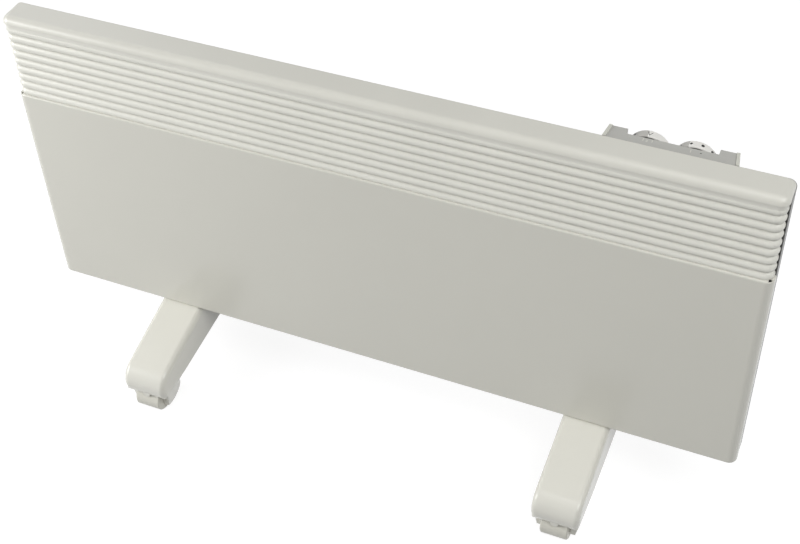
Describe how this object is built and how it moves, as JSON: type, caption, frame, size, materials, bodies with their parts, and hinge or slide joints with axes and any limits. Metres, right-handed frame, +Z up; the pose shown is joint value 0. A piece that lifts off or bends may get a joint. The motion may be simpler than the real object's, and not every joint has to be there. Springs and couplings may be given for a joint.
{
  "type": "panel convector heater",
  "caption": "Panel convector heater with a louvred outlet along its top, a rear control pod with two dials, and castor feet.",
  "frame": {"origin": "on the floor under the middle of the casing and of the two feet", "axes": "+X to the right seen from the front, +Y to the back, +Z up"},
  "size_m": [0.89, 0.294, 0.4905],
  "materials": {
    "white_steel": "gloss",
    "white_plastic": "satin",
    "dark_steel": "satin",
    "light_grey_plastic": "satin",
    "grey_plastic": "satin",
    "black_plastic": "matte",
    "roller_nylon": "satin",
    "bright_steel": "brushed",
    "zinc_steel": "zinc plated",
    "element_aluminium": "raw",
    "insulator_ceramic": "matte"
  },
  "bodies": {
    "heater": {"front_panel": "white_steel", "top_cover": "white_plastic", "outlet_grille": "white_plastic", "rear_shell": "dark_steel", "left_foot": "white_plastic", "right_foot": "white_plastic", "left_front_axle": "bright_steel", "left_rear_axle": "bright_steel", "right_front_axle": "bright_steel", "right_rear_axle": "bright_steel", "control_housing": "light_grey_plastic", "control_fascia": "grey_plastic", "mode_switch": "black_plastic", "thermostat": "black_plastic", "heating_element": "element_aluminium", "element_rod": "bright_steel", "left_insulator": "insulator_ceramic", "right_insulator": "insulator_ceramic", "left_element_bracket": "zinc_steel", "right_element_bracket": "zinc_steel", "heat_shield": "zinc_steel", "thermal_cutout": "black_plastic", "terminal_block": "black_plastic", "cord_gland": "black_plastic", "foot_screws": "zinc_steel", "panel_screws": "zinc_steel", "cover_screws": "zinc_steel", "pod_screws": "zinc_steel"},
    "left_front_castor": {"left_front_roller": "roller_nylon"},
    "left_rear_castor": {"left_rear_roller": "roller_nylon"},
    "right_front_castor": {"right_front_roller": "roller_nylon"},
    "right_rear_castor": {"right_rear_roller": "roller_nylon"},
    "mode_dial": {"mode_dial_rim": "light_grey_plastic", "mode_dial_hub": "black_plastic", "mode_shaft": "bright_steel"},
    "thermostat_dial": {"thermostat_dial_rim": "light_grey_plastic", "thermostat_dial_hub": "black_plastic", "thermostat_shaft": "bright_steel"}
  },
  "joints": [
    {"name": "left_front_roll", "type": "hinge", "parent": "heater", "child": "left_front_castor", "pos_m": [-0.26975, -0.128, 0.018], "axis": [1, 0, 0], "continuous": true},
    {"name": "left_rear_roll", "type": "hinge", "parent": "heater", "child": "left_rear_castor", "pos_m": [-0.26975, 0.128, 0.018], "axis": [1, 0, 0], "continuous": true},
    {"name": "right_front_roll", "type": "hinge", "parent": "heater", "child": "right_front_castor", "pos_m": [0.26975, -0.128, 0.018], "axis": [1, 0, 0], "continuous": true},
    {"name": "right_rear_roll", "type": "hinge", "parent": "heater", "child": "right_rear_castor", "pos_m": [0.26975, 0.128, 0.018], "axis": [1, 0, 0], "continuous": true},
    {"name": "mode_turn", "type": "hinge", "parent": "heater", "child": "mode_dial", "pos_m": [0.2951, 0.0146, 0.46849], "axis": [0, 1, 0], "range_deg": [0, 135]},
    {"name": "thermostat_turn", "type": "hinge", "parent": "heater", "child": "thermostat_dial", "pos_m": [0.3425, 0.0146, 0.46849], "axis": [0, 1, 0], "range_deg": [-135, 135]}
  ]
}
